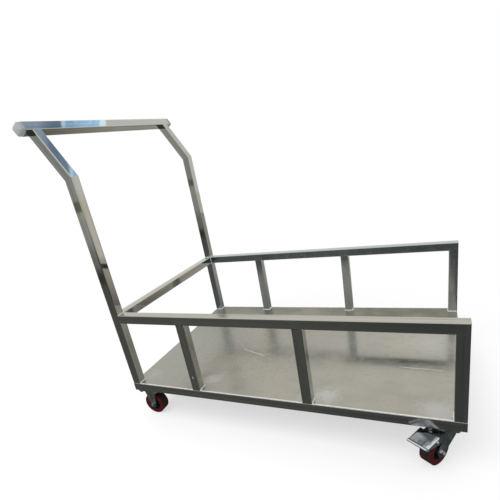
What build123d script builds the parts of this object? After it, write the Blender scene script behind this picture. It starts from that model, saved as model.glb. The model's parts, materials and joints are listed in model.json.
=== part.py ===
from build123d import *
import os
from math import cos, radians, sin, sqrt

os.makedirs("parts", exist_ok=True)

# Square steel tube that the whole frame is cut from
tube = 28.0
tube_wall = 1.5
tube_corner = 2.5
tube_inner_corner = 1.0

# Frame, with rises taken from the underside of the base rails
frame_length = 987.0
frame_width = 624.0
rail_rise = 280.5
first_post = 239.5
second_post = 595.0
cross_tube_count = 2
deck_thickness = 1.5
post_notch_gap = 0.3

# Handle
bend_rise = 699.0
arm_lean = 31.0
arm_length = 156.5
bar_overhang = 18.5
cap_thickness = 16.0
cap_edge = 4.5
cap_corner = 5.0
cap_lip = 0.8
cap_wall = 2.5
cap_plug_length = 15.0
cap_plug_gap = 0.2

# Where the casters stand under the frame
rigid_end_inset = 37.0
rigid_side_inset = 40.0
swivel_end_inset = 49.0
swivel_side_inset = 42.0
swivel_heading = 34.0

# Plates and screws that hold the casters
corner_plate_thickness = 6.0
corner_plate_chamfer = 7.0
top_plate_length = 74.0
top_plate_width = 64.0
top_plate_thickness = 2.5
top_plate_corner = 6.0
slot_pitch_long = 58.0
slot_pitch_across = 46.0
slot_length = 11.0
slot_width = 8.6
screw_radius = 4.0
screw_hex = 13.0
screw_head_height = 5.3
screw_tip_margin = 0.5
thread_gap = 0.1
washer_radius = 7.5
washer_thickness = 1.6
washer_gap = 0.2

# Wheels and axles
caster_height = 102.0
wheel_radius = 37.5
tread_width = 29.0
tread_edge = 4.0
core_radius = 24.0
core_rim = 3.0
web_thickness = 9.0
hub_radius = 12.0
hub_length = 33.0
hub_side_gap = 1.0
sleeve_radius = 6.0
running_gap = 0.06
axle_radius = 4.0
axle_hex = 13.0
axle_head_height = 5.3
axle_nut_height = 6.0
axle_tip = 2.0

# Pressed steel forks
leg_thickness = 3.0
boss_radius = 13.0
rigid_boss_radius = 11.0
rigid_leg_half = 20.5
rigid_leg_root = 6.0
fold_radius = 3.5
trail = 36.0
crown_radius = 28.0
crown_thickness = 3.0
shoulder_radius = 9.0
bulge_radius = 10.0
bulge_back = 12.0
bulge_height = 67.0
knee_radius = 7.0
knee_back = 44.0
knee_height = 78.0

# Swivel head
race_depth = 3.2
dish_floor_radius = 18.0
dish_rim_radius = 25.0
dish_slope = 1.0
swivel_gap = 0.3
kingpin_radius = 6.0
kingpin_head_radius = 10.0
kingpin_head_height = 2.6
kingpin_foot_radius = 9.0
kingpin_foot_height = 3.0
kingpin_foot_edge = 1.5
retainer_radius = 16.0
retainer_thickness = 1.5

# Brake pedal, its pin and its shoe
pivot_back = 60.0
pivot_height = 86.0
ear_radius = 5.0
brake_pin_radius = 3.0
pin_head_radius = 5.0
pin_head_thickness = 2.0
pin_head_gap = 0.3
pedal_slope = 9.0
pedal_sheet = 2.5
pedal_side_gap = 3.5
pedal_front = 8.0
pedal_reach = 41.0
pedal_rise = 10.5
pedal_lip_radius = 2.6
cheek_radius = 6.5
cheek_tip_radius = 3.5
cheek_tip_setback = 9.0
shoe_width = 26.0
shoe_gap = 4.3
shoe_contact_angle = 40.0
pad_thickness = 4.0
pad_length = 16.0
shoe_sheet = 2.0
shoe_flange_start = 4.0
shoe_flange_length = 14.0
shoe_arm_half = 1.5

# Levels above the floor
base_bottom = caster_height + corner_plate_thickness
base_middle = base_bottom + tube / 2
base_top = base_bottom + tube
rail_top = base_bottom + rail_rise
rail_middle = rail_top - tube / 2
rail_bottom = rail_top - tube
bend_height = base_bottom + bend_rise
plate_bottom = caster_height - top_plate_thickness
dish_bottom = plate_bottom - race_depth
dish_top = dish_bottom + top_plate_thickness
crown_top = dish_bottom - swivel_gap
crown_bottom = crown_top - crown_thickness

# Places along and across the trolley, centred on its overall box
lean = radians(arm_lean)
handle_reach = (arm_length + tube - tube_corner) * sin(lean)
handle_reach += (tube - tube_corner) * cos(lean) + tube_corner - tube
handle_face = (handle_reach - frame_length) / 2
open_face = handle_face + frame_length
side_face = frame_width / 2
tube_line = side_face - tube / 2
upright_line = handle_face + tube / 2
end_post_line = open_face - tube / 2
middle_post_lines = (handle_face + first_post + tube / 2, handle_face + second_post + tube / 2)
sides = {"front": -1, "rear": 1}

# Directions and widths that follow from the sizes above
arm_along = Vector(-sin(lean), 0, cos(lean))
arm_inward = Vector(-cos(lean), 0, -sin(lean))
bend_normal = Vector(-sin(lean / 2), 0, cos(lean / 2))
fork_gap = hub_length + 2 * hub_side_gap
fork_half = fork_gap / 2 + leg_thickness
axle_hole_radius = axle_radius + thread_gap
hub_bore = sleeve_radius + running_gap
leg_top_half = sqrt(crown_radius**2 - fork_half**2)
pedal_inner_half = fork_half + pedal_side_gap
pedal_half = pedal_inner_half + pedal_sheet
pin_half = pedal_half + pin_head_gap


def finish(piece, label):
    """Name a finished piece and write it to its own file."""
    piece.part.label = label
    export_step(piece.part, f"parts/{label}.step")


def square_tube(label, start, along, across, length, mitres=()):
    """A hollow square tube from start, with each mitre keeping the side that its plane faces."""
    with BuildPart() as piece:
        with BuildSketch(Plane(origin=start, x_dir=across, z_dir=along)):
            RectangleRounded(tube, tube, tube_corner)
            bore = tube - 2 * tube_wall
            RectangleRounded(bore, bore, tube_inner_corner, mode=Mode.SUBTRACT)
        extrude(amount=length)
        for mitre in mitres:
            split(bisect_by=mitre, keep=Keep.TOP)
    finish(piece, label)


def side_plane(base, offset):
    """An upright plane along a caster's rolling line, offset towards its nut side."""
    return Plane(origin=base.origin + base.y_dir * offset, x_dir=base.x_dir, z_dir=-base.y_dir)


def pedal_plane(base, offset):
    """The side plane tilted with the pedal, with its origin at the pedal's pivot."""
    slope = radians(pedal_slope)
    pivot = base.origin + base.x_dir * pivot_back + base.z_dir * pivot_height
    down_slope = base.x_dir * cos(slope) - base.z_dir * sin(slope)
    return Plane(origin=pivot + base.y_dir * offset, x_dir=down_slope, z_dir=-base.y_dir)


# Base frame, mitred at its four corners
for side_name, side in sides.items():
    square_tube(
        f"base_rail_{side_name}",
        (handle_face, side * tube_line, base_middle),
        (1, 0, 0),
        (0, 1, 0),
        frame_length,
        (
            Plane(origin=(handle_face, side * side_face, 0), z_dir=(1, side, 0)),
            Plane(origin=(open_face, side * side_face, 0), z_dir=(-1, side, 0)),
        ),
    )
for end_name, end, face in (("handle", -1, handle_face), ("open", 1, open_face)):
    square_tube(
        f"base_end_rail_{end_name}",
        (face - end * tube / 2, -side_face, base_middle),
        (0, 1, 0),
        (1, 0, 0),
        frame_width,
        [Plane(origin=(face, side * side_face, 0), z_dir=(end, -side, 0)) for side in sides.values()],
    )
for number in range(cross_tube_count):
    place = handle_face + frame_length * (number + 1) / (cross_tube_count + 1)
    square_tube(
        f"base_cross_tube_{number + 1}",
        (place, tube - side_face, base_middle),
        (0, 1, 0),
        (1, 0, 0),
        frame_width - 2 * tube,
    )

# Deck sheet, notched round every post
with BuildPart() as deck_sheet:
    with BuildSketch(Plane.XY.offset(base_top)):
        with Locations(((handle_face + open_face) / 2, 0)):
            Rectangle(frame_length, frame_width)
        notch = tube + 2 * post_notch_gap
        posts = (upright_line, *middle_post_lines, end_post_line)
        with Locations([(line, side * tube_line) for line in posts for side in sides.values()]):
            Rectangle(notch, notch, mode=Mode.SUBTRACT)
    extrude(amount=deck_thickness)
finish(deck_sheet, "deck_sheet")

# Side frames: a top rail mitred to its end post, and two middle posts
for side_name, side in sides.items():
    rail_corner = (open_face, side * tube_line, rail_top)
    square_tube(
        f"top_rail_{side_name}",
        (handle_face + tube, side * tube_line, rail_middle),
        (1, 0, 0),
        (0, 1, 0),
        frame_length - tube,
        [Plane(origin=rail_corner, z_dir=(-1, 0, 1))],
    )
    square_tube(
        f"end_post_{side_name}",
        (end_post_line, side * tube_line, base_top),
        (0, 0, 1),
        (1, 0, 0),
        rail_top - base_top,
        [Plane(origin=rail_corner, z_dir=(1, 0, -1))],
    )
    for number, line in enumerate(middle_post_lines):
        square_tube(
            f"mid_post_{side_name}_{number + 1}",
            (line, side * tube_line, base_top),
            (0, 0, 1),
            (1, 0, 0),
            rail_bottom - base_top,
        )

# Uprights and the arms that lean back from them, mitred at the bend
for side_name, side in sides.items():
    bend = Vector(handle_face + tube, side * tube_line, bend_height)
    square_tube(
        f"upright_{side_name}",
        (upright_line, side * tube_line, base_top),
        (0, 0, 1),
        (1, 0, 0),
        bend_height - base_top,
        [Plane(origin=bend, z_dir=-bend_normal)],
    )
    square_tube(
        f"handle_arm_{side_name}",
        bend + arm_inward * (tube / 2) - arm_along * tube,
        arm_along,
        (0, 1, 0),
        tube + arm_length,
        [Plane(origin=bend, z_dir=bend_normal)],
    )
square_tube(
    "top_cross_rail",
    (upright_line, tube - side_face, rail_middle),
    (0, 1, 0),
    (1, 0, 0),
    frame_width - 2 * tube,
)

# Handle bar across the arms, with a plastic cap pushed into each end
bar_centre = Vector(handle_face + tube, 0, bend_height)
bar_centre += arm_along * (arm_length + tube / 2) + arm_inward * (tube / 2)
bar_half = side_face + bar_overhang
square_tube(
    "handle_bar",
    bar_centre - Vector(0, bar_half, 0),
    (0, 1, 0),
    arm_along,
    2 * bar_half,
)
for side_name, side in sides.items():
    cap_plane = Plane(origin=bar_centre + Vector(0, side * bar_half, 0), x_dir=arm_along, z_dir=(0, side, 0))
    with BuildPart() as handle_cap:
        with BuildSketch(cap_plane):
            RectangleRounded(tube + 2 * cap_lip, tube + 2 * cap_lip, cap_corner)
        extrude(amount=cap_thickness)
        fillet(handle_cap.faces().sort_by(Axis(bar_centre, (0, side, 0)))[-1].edges(), cap_edge)
        with BuildSketch(cap_plane):
            plug = tube - 2 * tube_wall - 2 * cap_plug_gap
            RectangleRounded(plug, plug, tube_inner_corner)
            hollow = plug - 2 * cap_wall
            Rectangle(hollow, hollow, mode=Mode.SUBTRACT)
        extrude(amount=-cap_plug_length)
    finish(handle_cap, f"handle_cap_{side_name}")

# Each caster's plane stands on the floor: X along the wheel's rolling line, Y towards its nut
heading = radians(swivel_heading)
rigid_seats = {}
swivel_seats = {}
swivel_turns = {}
for side_name, side in sides.items():
    rigid_place = (handle_face + rigid_end_inset, side * (side_face - rigid_side_inset), 0)
    swivel_place = (open_face - swivel_end_inset, side * (side_face - swivel_side_inset), 0)
    rigid_seats[side_name] = Plane(origin=rigid_place, x_dir=(side, 0, 0), z_dir=(0, 0, 1))
    swivel_seats[side_name] = Plane(origin=swivel_place, x_dir=(side, 0, 0), z_dir=(0, 0, 1))
    swivel_turns[side_name] = Plane(
        origin=swivel_place, x_dir=(-sin(heading), side * cos(heading), 0), z_dir=(0, 0, 1)
    )
all_seats = {("handle", name): seat for name, seat in rigid_seats.items()}
all_seats |= {("open", name): seat for name, seat in swivel_seats.items()}


def screw_places():
    """The four screw places of a caster's top plate."""
    return GridLocations(slot_pitch_long, slot_pitch_across, 2, 2)


def slotted_plate(base):
    """A caster's flat top plate with its four slots."""
    with BuildPart() as plate:
        with BuildSketch(base.offset(plate_bottom)):
            RectangleRounded(top_plate_length, top_plate_width, top_plate_corner)
            with screw_places():
                SlotOverall(slot_length, slot_width, mode=Mode.SUBTRACT)
        extrude(amount=top_plate_thickness)
    return plate.part


# Corner plates welded under the frame, threaded for the caster screws
for (end_name, side_name), seat in all_seats.items():
    with BuildPart() as corner_plate:
        with BuildSketch(seat.offset(caster_height)) as outline:
            Rectangle(top_plate_length, top_plate_width)
            chamfer(outline.vertices(), corner_plate_chamfer)
            with screw_places():
                Circle(screw_radius + thread_gap, mode=Mode.SUBTRACT)
        extrude(amount=corner_plate_thickness)
    finish(corner_plate, f"corner_plate_{end_name}_{side_name}")

# Hexagon screws and their washers, sixteen of each
washer_bottom = plate_bottom - washer_thickness
head_bottom = washer_bottom - screw_head_height
with BuildPart() as caster_screws:
    for seat in all_seats.values():
        with BuildSketch(seat.offset(head_bottom)):
            with screw_places():
                RegularPolygon(screw_hex / 2, 6, major_radius=False)
        extrude(amount=screw_head_height)
        with BuildSketch(seat.offset(washer_bottom)):
            with screw_places():
                Circle(screw_radius)
        extrude(amount=base_bottom - screw_tip_margin - washer_bottom)
finish(caster_screws, "caster_screws")
with BuildPart() as caster_washers:
    for seat in all_seats.values():
        with BuildSketch(seat.offset(washer_bottom)):
            with screw_places():
                Circle(washer_radius)
                Circle(screw_radius + washer_gap, mode=Mode.SUBTRACT)
        extrude(amount=washer_thickness)
finish(caster_washers, "caster_washers")


def axle_bolt(base, back):
    """A hexagon bolt through both fork legs at a wheel's axle."""
    shank = 2 * fork_half + axle_nut_height + axle_tip
    with BuildPart() as bolt:
        with BuildSketch(side_plane(base, -fork_half)):
            with Locations((back, wheel_radius)):
                RegularPolygon(axle_hex / 2, 6, major_radius=False)
        extrude(amount=axle_head_height)
        with BuildSketch(side_plane(base, -fork_half)):
            with Locations((back, wheel_radius)):
                Circle(axle_radius)
        extrude(amount=-shank)
    return bolt.part


def axle_nut(base, back):
    """The nut outside the fork, on the axle bolt."""
    with BuildPart() as nut:
        with BuildSketch(side_plane(base, fork_half)):
            with Locations((back, wheel_radius)):
                RegularPolygon(axle_hex / 2, 6, major_radius=False)
                Circle(axle_hole_radius, mode=Mode.SUBTRACT)
        extrude(amount=-axle_nut_height)
    return nut.part


def axle_sleeve(base, back):
    """The steel sleeve clamped between the fork legs, on which the wheel turns."""
    with BuildPart() as sleeve:
        with BuildSketch(side_plane(base, fork_gap / 2)):
            with Locations((back, wheel_radius)):
                Circle(sleeve_radius)
                Circle(axle_hole_radius, mode=Mode.SUBTRACT)
        extrude(amount=fork_gap)
    return sleeve.part


def wheel(name, base, back):
    """A wheel in two pieces, turned about its axle: a hard core and a soft tread."""
    centre = base.origin + base.x_dir * back + base.z_dir * wheel_radius
    section = Plane(origin=centre, x_dir=base.y_dir, z_dir=base.x_dir)
    axle = Axis(centre, base.y_dir)
    with BuildPart() as wheel_tread:
        with BuildSketch(section) as tread_section:
            with Locations((0, core_radius)):
                Rectangle(tread_width, wheel_radius - core_radius, align=(Align.CENTER, Align.MIN))
            fillet(tread_section.vertices().group_by(Axis.Y)[-1], tread_edge)
        revolve(axis=axle)
    finish(wheel_tread, f"wheel_tread_{name}")
    with BuildPart() as wheel_core:
        with BuildSketch(section):
            for width, inner, outer in (
                (hub_length, hub_bore, hub_radius),
                (web_thickness, hub_radius, core_radius - core_rim),
                (tread_width, core_radius - core_rim, core_radius),
            ):
                with Locations((0, inner)):
                    Rectangle(width, outer - inner, align=(Align.CENTER, Align.MIN))
        revolve(axis=axle)
    finish(wheel_core, f"wheel_core_{name}")


# Rigid casters: a top plate and a folded fork in one, with the axle straight below
for side_name, seat in rigid_seats.items():
    top_plate = slotted_plate(seat)
    with BuildPart() as rigid_fork:
        with BuildSketch(side_plane(seat, 0)):
            with Locations((0, plate_bottom)):
                Rectangle(2 * rigid_leg_half, rigid_leg_root, align=(Align.CENTER, Align.MAX))
            with Locations((0, wheel_radius)):
                Circle(rigid_boss_radius)
            make_hull()
        extrude(amount=fork_half, both=True)
        folds = rigid_fork.edges().filter_by(Axis.X).group_by(Axis.Z)[-1]
        fillet(folds, fold_radius)
        with BuildSketch(side_plane(seat, 0)):
            with Locations((0, plate_bottom - leg_thickness)):
                Rectangle(2 * rigid_leg_half, plate_bottom, align=(Align.CENTER, Align.MAX))
        extrude(amount=fork_gap / 2, both=True, mode=Mode.SUBTRACT)
        with BuildSketch(side_plane(seat, 0)):
            with Locations((0, wheel_radius)):
                Circle(axle_hole_radius)
        extrude(amount=fork_half, both=True, mode=Mode.SUBTRACT)
        add(top_plate)
    finish(rigid_fork, f"rigid_fork_{side_name}")
    wheel(f"handle_{side_name}", seat, 0)
for label, make in (("bolts", axle_bolt), ("nuts", axle_nut), ("sleeves", axle_sleeve)):
    pieces = [make(seat, 0) for seat in rigid_seats.values()]
    with BuildPart() as axle_pieces:
        add(pieces)
    finish(axle_pieces, f"axle_{label}_handle_end")

# Swivel casters: the head that stays on the frame
for side_name, seat in swivel_seats.items():
    top_plate = slotted_plate(seat)
    with BuildPart() as swivel_plate:
        add(top_plate)
        with BuildSketch(seat):
            Circle(dish_rim_radius)
        extrude(amount=caster_height, mode=Mode.SUBTRACT)
        with BuildSketch(side_plane(seat, 0)):
            with BuildLine():
                Polyline(
                    (kingpin_radius, dish_bottom),
                    (dish_floor_radius, dish_bottom),
                    (dish_rim_radius, plate_bottom),
                    (dish_rim_radius, caster_height),
                    (dish_rim_radius - dish_slope, caster_height),
                    (dish_floor_radius - dish_slope, dish_top),
                    (kingpin_radius, dish_top),
                    close=True,
                )
            make_face()
        revolve(axis=Axis(seat.origin, seat.z_dir))
    finish(swivel_plate, f"swivel_plate_{side_name}")

# The kingpins that hold the forks up, each with a retaining ring below the fork's crown
retainer_top = crown_bottom - swivel_gap
retainer_bottom = retainer_top - retainer_thickness
with BuildPart() as kingpins:
    for seat in swivel_seats.values():
        with BuildSketch(seat.offset(retainer_bottom - kingpin_foot_height)):
            Circle(kingpin_foot_radius)
        extrude(amount=kingpin_foot_height)
        with BuildSketch(seat.offset(retainer_bottom)):
            Circle(kingpin_radius)
        extrude(amount=dish_top - retainer_bottom)
        with BuildSketch(seat.offset(dish_top)):
            Circle(kingpin_head_radius)
        extrude(amount=kingpin_head_height)
    fillet(kingpins.edges().group_by(Axis.Z)[0], kingpin_foot_edge)
finish(kingpins, "kingpins")
with BuildPart() as swivel_retainers:
    for seat in swivel_seats.values():
        with BuildSketch(seat.offset(retainer_bottom)):
            Circle(retainer_radius)
            Circle(kingpin_radius, mode=Mode.SUBTRACT)
        extrude(amount=retainer_thickness)
finish(swivel_retainers, "swivel_retainers")


def hulled_leg(base, offset, circles):
    """One flat piece of a fork leg: the hull of its round corners."""
    with BuildPart() as leg:
        with BuildSketch(side_plane(base, offset)):
            for back, height, radius in circles:
                with Locations((back, height)):
                    Circle(radius)
            make_hull()
        extrude(amount=leg_thickness)
    return leg.part


shoulder_back = leg_top_half - shoulder_radius
shoulder_height = crown_top - shoulder_radius
leg_circles = (
    (-shoulder_back, shoulder_height, shoulder_radius),
    (shoulder_back, shoulder_height, shoulder_radius),
    (-bulge_back, bulge_height, bulge_radius),
    (trail, wheel_radius, boss_radius),
)
ear_circles = (
    (shoulder_back, pivot_height + ear_radius - shoulder_radius, shoulder_radius),
    (knee_back, knee_height, knee_radius),
    (pivot_back, pivot_height, ear_radius),
)

# Swivel casters: the fork, its axle and the brake pin, which turn together
for side_name, turn in swivel_turns.items():
    outlines = (leg_circles, ear_circles)
    legs = [hulled_leg(turn, start, outline) for start in (fork_half, -fork_gap / 2) for outline in outlines]
    with BuildPart() as swivel_fork:
        with BuildSketch(turn.offset(crown_bottom)):
            Circle(crown_radius)
        extrude(amount=crown_thickness)
        add(legs)
        with BuildSketch(turn.offset(crown_bottom)):
            Circle(kingpin_radius + running_gap)
        extrude(amount=crown_thickness, mode=Mode.SUBTRACT)
        with BuildSketch(side_plane(turn, 0)):
            with Locations((trail, wheel_radius)):
                Circle(axle_hole_radius)
            with Locations((pivot_back, pivot_height)):
                Circle(brake_pin_radius)
        extrude(amount=fork_half, both=True, mode=Mode.SUBTRACT)
    finish(swivel_fork, f"swivel_fork_{side_name}")
    for label, make in (("bolt", axle_bolt), ("nut", axle_nut), ("sleeve", axle_sleeve)):
        piece = make(turn, trail)
        with BuildPart() as axle_piece:
            add(piece)
        finish(axle_piece, f"axle_{label}_open_{side_name}")
    wheel(f"open_{side_name}", turn, trail)
    with BuildPart() as brake_pin:
        for radius, start, length in (
            (brake_pin_radius, pin_half, 2 * pin_half),
            (pin_head_radius, pin_half + pin_head_thickness, pin_head_thickness),
            (pin_head_radius, -pin_half, pin_head_thickness),
        ):
            with BuildSketch(side_plane(turn, start)):
                with Locations((pivot_back, pivot_height)):
                    Circle(radius)
            extrude(amount=length)
    finish(brake_pin, f"brake_pin_{side_name}")

# Brake pedals: a pressed channel with a raised lip, hung on the brake pin
for side_name, turn in swivel_turns.items():
    with BuildPart() as brake_pedal:
        with BuildSketch(pedal_plane(turn, 0)):
            with Locations((-pedal_front, pedal_rise)):
                Rectangle(pedal_front + pedal_reach, pedal_sheet, align=(Align.MIN, Align.MAX))
            with Locations((pedal_reach, pedal_rise - pedal_sheet + pedal_lip_radius)):
                Circle(pedal_lip_radius)
        extrude(amount=pedal_half, both=True)
        for offset in (pedal_half, -pedal_inner_half):
            with BuildSketch(pedal_plane(turn, offset)):
                Circle(cheek_radius)
                with Locations((-pedal_front, pedal_rise)):
                    Rectangle(pedal_front, pedal_sheet, align=(Align.MIN, Align.MAX))
                with Locations((pedal_reach - cheek_tip_setback, pedal_rise - cheek_tip_radius)):
                    Circle(cheek_tip_radius)
                make_hull()
                Circle(brake_pin_radius + running_gap, mode=Mode.SUBTRACT)
            extrude(amount=pedal_sheet)
    finish(brake_pedal, f"brake_pedal_{side_name}")
    contact = radians(shoe_contact_angle)
    pad_distance = wheel_radius + shoe_gap + pad_thickness / 2
    pad_place = (trail + pad_distance * cos(contact), wheel_radius + pad_distance * sin(contact))
    slope = radians(pedal_slope)
    flange_drop = pedal_rise - pedal_sheet - shoe_sheet / 2
    arm_top = (
        pivot_back + shoe_flange_start * cos(slope) + flange_drop * sin(slope),
        pivot_height - shoe_flange_start * sin(slope) + flange_drop * cos(slope),
    )
    with BuildPart() as brake_shoe:
        with BuildSketch(pedal_plane(turn, 0)):
            with Locations((shoe_flange_start, pedal_rise - pedal_sheet)):
                Rectangle(shoe_flange_length, shoe_sheet, align=(Align.MIN, Align.MAX))
        extrude(amount=shoe_width / 2, both=True)
        with BuildSketch(side_plane(turn, 0)):
            with BuildLine():
                Line(arm_top, pad_place)
            trace(line_width=2 * shoe_arm_half)
            with Locations(pad_place):
                Rectangle(pad_thickness, pad_length, rotation=shoe_contact_angle)
        extrude(amount=shoe_width / 2, both=True)
    finish(brake_shoe, f"brake_shoe_{side_name}")
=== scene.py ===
import json
import math

import bmesh
import bpy
from bpy.props import FloatProperty, FloatVectorProperty, PointerProperty
from mathutils import Matrix, Vector


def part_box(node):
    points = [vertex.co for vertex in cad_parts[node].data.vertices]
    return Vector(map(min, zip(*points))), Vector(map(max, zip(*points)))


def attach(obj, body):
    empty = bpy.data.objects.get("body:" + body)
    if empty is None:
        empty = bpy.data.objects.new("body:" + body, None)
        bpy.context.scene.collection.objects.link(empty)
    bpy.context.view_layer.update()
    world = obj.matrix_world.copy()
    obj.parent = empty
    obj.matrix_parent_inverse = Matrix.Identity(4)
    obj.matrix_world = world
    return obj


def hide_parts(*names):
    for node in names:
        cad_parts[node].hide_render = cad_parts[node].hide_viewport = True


bl_info = {
    "name": "Metal trolley",
    "version": (1, 0, 0),
    "blender": (4, 5, 0),
    "location": "3D View > Sidebar > Trolley",
    "description": "Finishes, welds, wheels, brakes and a plain studio for the packed trolley",
    "category": "Object",
}

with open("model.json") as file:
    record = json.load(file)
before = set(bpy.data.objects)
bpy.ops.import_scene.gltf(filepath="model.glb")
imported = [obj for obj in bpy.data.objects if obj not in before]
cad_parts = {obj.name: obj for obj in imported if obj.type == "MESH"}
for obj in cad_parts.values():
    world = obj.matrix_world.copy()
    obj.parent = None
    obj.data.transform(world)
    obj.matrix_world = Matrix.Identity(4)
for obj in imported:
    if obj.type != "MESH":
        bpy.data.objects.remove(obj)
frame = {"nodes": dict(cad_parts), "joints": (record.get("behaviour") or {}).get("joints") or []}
nodes = frame["nodes"]
joints = {joint["name"]: joint for joint in frame["joints"]}
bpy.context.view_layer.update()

MM = 0.001
X, Y, Z = range(3)
SIDES = {"front": -1, "rear": 1}
ENDS = ("handle", "open")
UP = Vector((0, 0, 1))
FLAT = Vector((1, 1, 0))


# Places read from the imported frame

def low(node, axis):
    """The lowest place of a node along one axis."""
    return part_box(node)[0][axis]


def high(node, axis):
    """The highest place of a node along one axis."""
    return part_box(node)[1][axis]


def middle(node, axis):
    """The middle of a node along one axis."""
    return (low(node, axis) + high(node, axis)) / 2


def span(node, axis):
    """The size of a node along one axis."""
    return high(node, axis) - low(node, axis)


def joint_place(name):
    """Where a joint turns."""
    return Vector(joints[name]["pos_m"])


TUBE = span("base_rail_front", Z)
DECK_TOP = high("deck_sheet", Z)
BASE_TOP = high("base_rail_front", Z)
RAIL_TOP = high("top_rail_front", Z)
SIDE_FACE = high("base_rail_rear", Y)
HANDLE_FACE = low("base_rail_front", X)
OPEN_FACE = high("base_rail_front", X)
POST_LINES = (
    HANDLE_FACE + TUBE / 2,
    middle("mid_post_front_1", X),
    middle("mid_post_front_2", X),
    OPEN_FACE - TUBE / 2,
)
BEND = high("upright_front", Z)
ARM_LEAN = math.radians(31.0)
ARM_ALONG = Vector((-math.sin(ARM_LEAN), 0, math.cos(ARM_LEAN)))
ARM_INWARD = Vector((-math.cos(ARM_LEAN), 0, -math.sin(ARM_LEAN)))
ARM_LENGTH = 156.5 * MM
CAP_LIP = 0.8 * MM
CAP_CROWN = 0.8 * MM
WELD_PROUD = 0.4 * MM
WELD_SHORT = 3 * MM
WHEEL_RADIUS = span("wheel_tread_handle_front", Z) / 2
TREAD_WIDTH = span("wheel_tread_handle_front", Y)
CORE_RADIUS = span("wheel_core_handle_front", Z) / 2
HUB_LENGTH = span("wheel_core_handle_front", Y)
HUB_RADIUS = 12 * MM
HUB_BORE = 6.06 * MM
RIM_WALL = 3.2 * MM
WEB_HALF = 4.5 * MM
FORK_HALF = HUB_LENGTH / 2 + 4 * MM
HEX_ACROSS = 13 * MM
HEAD_HEIGHT = 5.3 * MM
NUT_HEIGHT = 6 * MM
SCREW_ALONG = 29 * MM
SCREW_ACROSS = 23 * MM
PEDAL_BACK = 8 * MM
PEDAL_REACH = 41 * MM
PEDAL_LEVEL = 9.25 * MM
PEDAL_HALF = 25.25 * MM
PEDAL_ROLL = 1.8 * MM
PEDAL_CHEEK = 6 * MM
PEDAL_SLOPE = math.radians(9.0)
PIN_ROUND = 6.5 * MM
SPRING_WIRE = 0.45 * MM
SPRING_COIL = 5.4 * MM
SPRING_PITCH = 1.05 * MM
SPRING_TURNS = 2
SPRING_SIDE = 22.25 * MM
# Each mark on a fork's leg: its place along the trail, its height and how long it is for its width
SWIVEL_MARKS = ((21 * MM, 77 * MM, 1.5), (14.5 * MM, 70 * MM, 1.5))
RIGID_MARKS = ((9 * MM, 85 * MM, 1.1), (8 * MM, 74.5 * MM, 1.1))
FLOOR_RADIUS = 30.0
CARD_RADIUS = 9.0
WALL_RADIUS = 8.9
UNSEEN_RAYS = ("camera", "diffuse", "transmission", "volume_scatter", "shadow")


# Settings that a user would change

def colour_setting(name, description, default):
    """A colour among the settings."""
    return FloatVectorProperty(name=name, description=description, subtype="COLOR", default=default)


class TrolleyFinish(bpy.types.PropertyGroup):
    """Colours of the trolley's finishes."""

    tube_steel: colour_setting("Tube steel", "Polished stainless tube of the frame", (0.455, 0.45, 0.415))
    deck_steel: colour_setting("Deck steel", "Cloudy stainless sheet of the deck", (0.385, 0.375, 0.325))
    weld_steel: colour_setting("Weld steel", "Bright bead left by the welder", (0.85, 0.85, 0.83))
    fork_zinc: colour_setting("Fork zinc", "Plated steel of the caster forks", (0.4, 0.41, 0.4))
    bright_zinc: colour_setting("Bright zinc", "Bright plating of bolts, nuts and pins", (0.72, 0.74, 0.76))
    cap_plastic: colour_setting("Cap plastic", "Pale plastic of the handle's end caps", (0.3, 0.315, 0.32))
    tread_red: colour_setting("Tread red", "Cast red tread of the wheels", (0.09, 0.004, 0.006))
    tread_worn: colour_setting(
        "Worn tread", "Scuffed and dusty running face of the wheels", (0.022, 0.012, 0.012)
    )
    core_black: colour_setting("Core black", "Black plastic of the wheel cores", (0.008, 0.009, 0.01))


class TrolleyStudio(bpy.types.PropertyGroup):
    """The camera, the lamp and the cards of the studio."""

    camera_place: FloatVectorProperty(
        name="Camera place",
        description="Where the camera stands",
        subtype="TRANSLATION",
        unit="LENGTH",
        default=(0.475126, -1.114281, 0.789817),
    )
    camera_turn: FloatVectorProperty(
        name="Camera turn",
        description="How the camera is turned",
        subtype="EULER",
        unit="ROTATION",
        default=(math.radians(68.159), math.radians(10.147), math.radians(24.019)),
    )
    camera_lens: FloatProperty(
        name="Camera lens",
        description="Focal length in millimetres on a sensor 36 mm wide",
        default=27.679,
    )
    camera_rise: FloatProperty(
        name="Camera rise",
        description="Upward shift of the picture as a share of its width",
        default=0.1069,
    )
    world_light: FloatProperty(
        name="World light",
        description="Even light that falls from all round",
        default=0.8,
    )
    lamp_power: FloatProperty(
        name="Lamp power",
        description="Power of the soft lamp above",
        subtype="POWER",
        unit="POWER",
        default=45.0,
    )
    floor_dark: colour_setting(
        "Floor card", "Colour that the steel mirrors from the floor near it", (0.124, 0.13, 0.124)
    )
    floor_far: colour_setting(
        "Far floor card", "Colour that the steel mirrors from the floor behind", (0.5, 0.47, 0.42)
    )
    wall_grey: colour_setting(
        "Wall card", "Colour that the steel mirrors from the wall in front", (0.46, 0.48, 0.475)
    )


# Small tools for materials

def opaque(colour):
    """A colour with its fourth number, or an output as it is."""
    return colour if isinstance(colour, bpy.types.NodeSocket) else (*colour[:3], 1.0)


def shaded(colour, share):
    """A colour made darker or lighter."""
    return tuple(min(part * share, 1.0) for part in colour)


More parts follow.
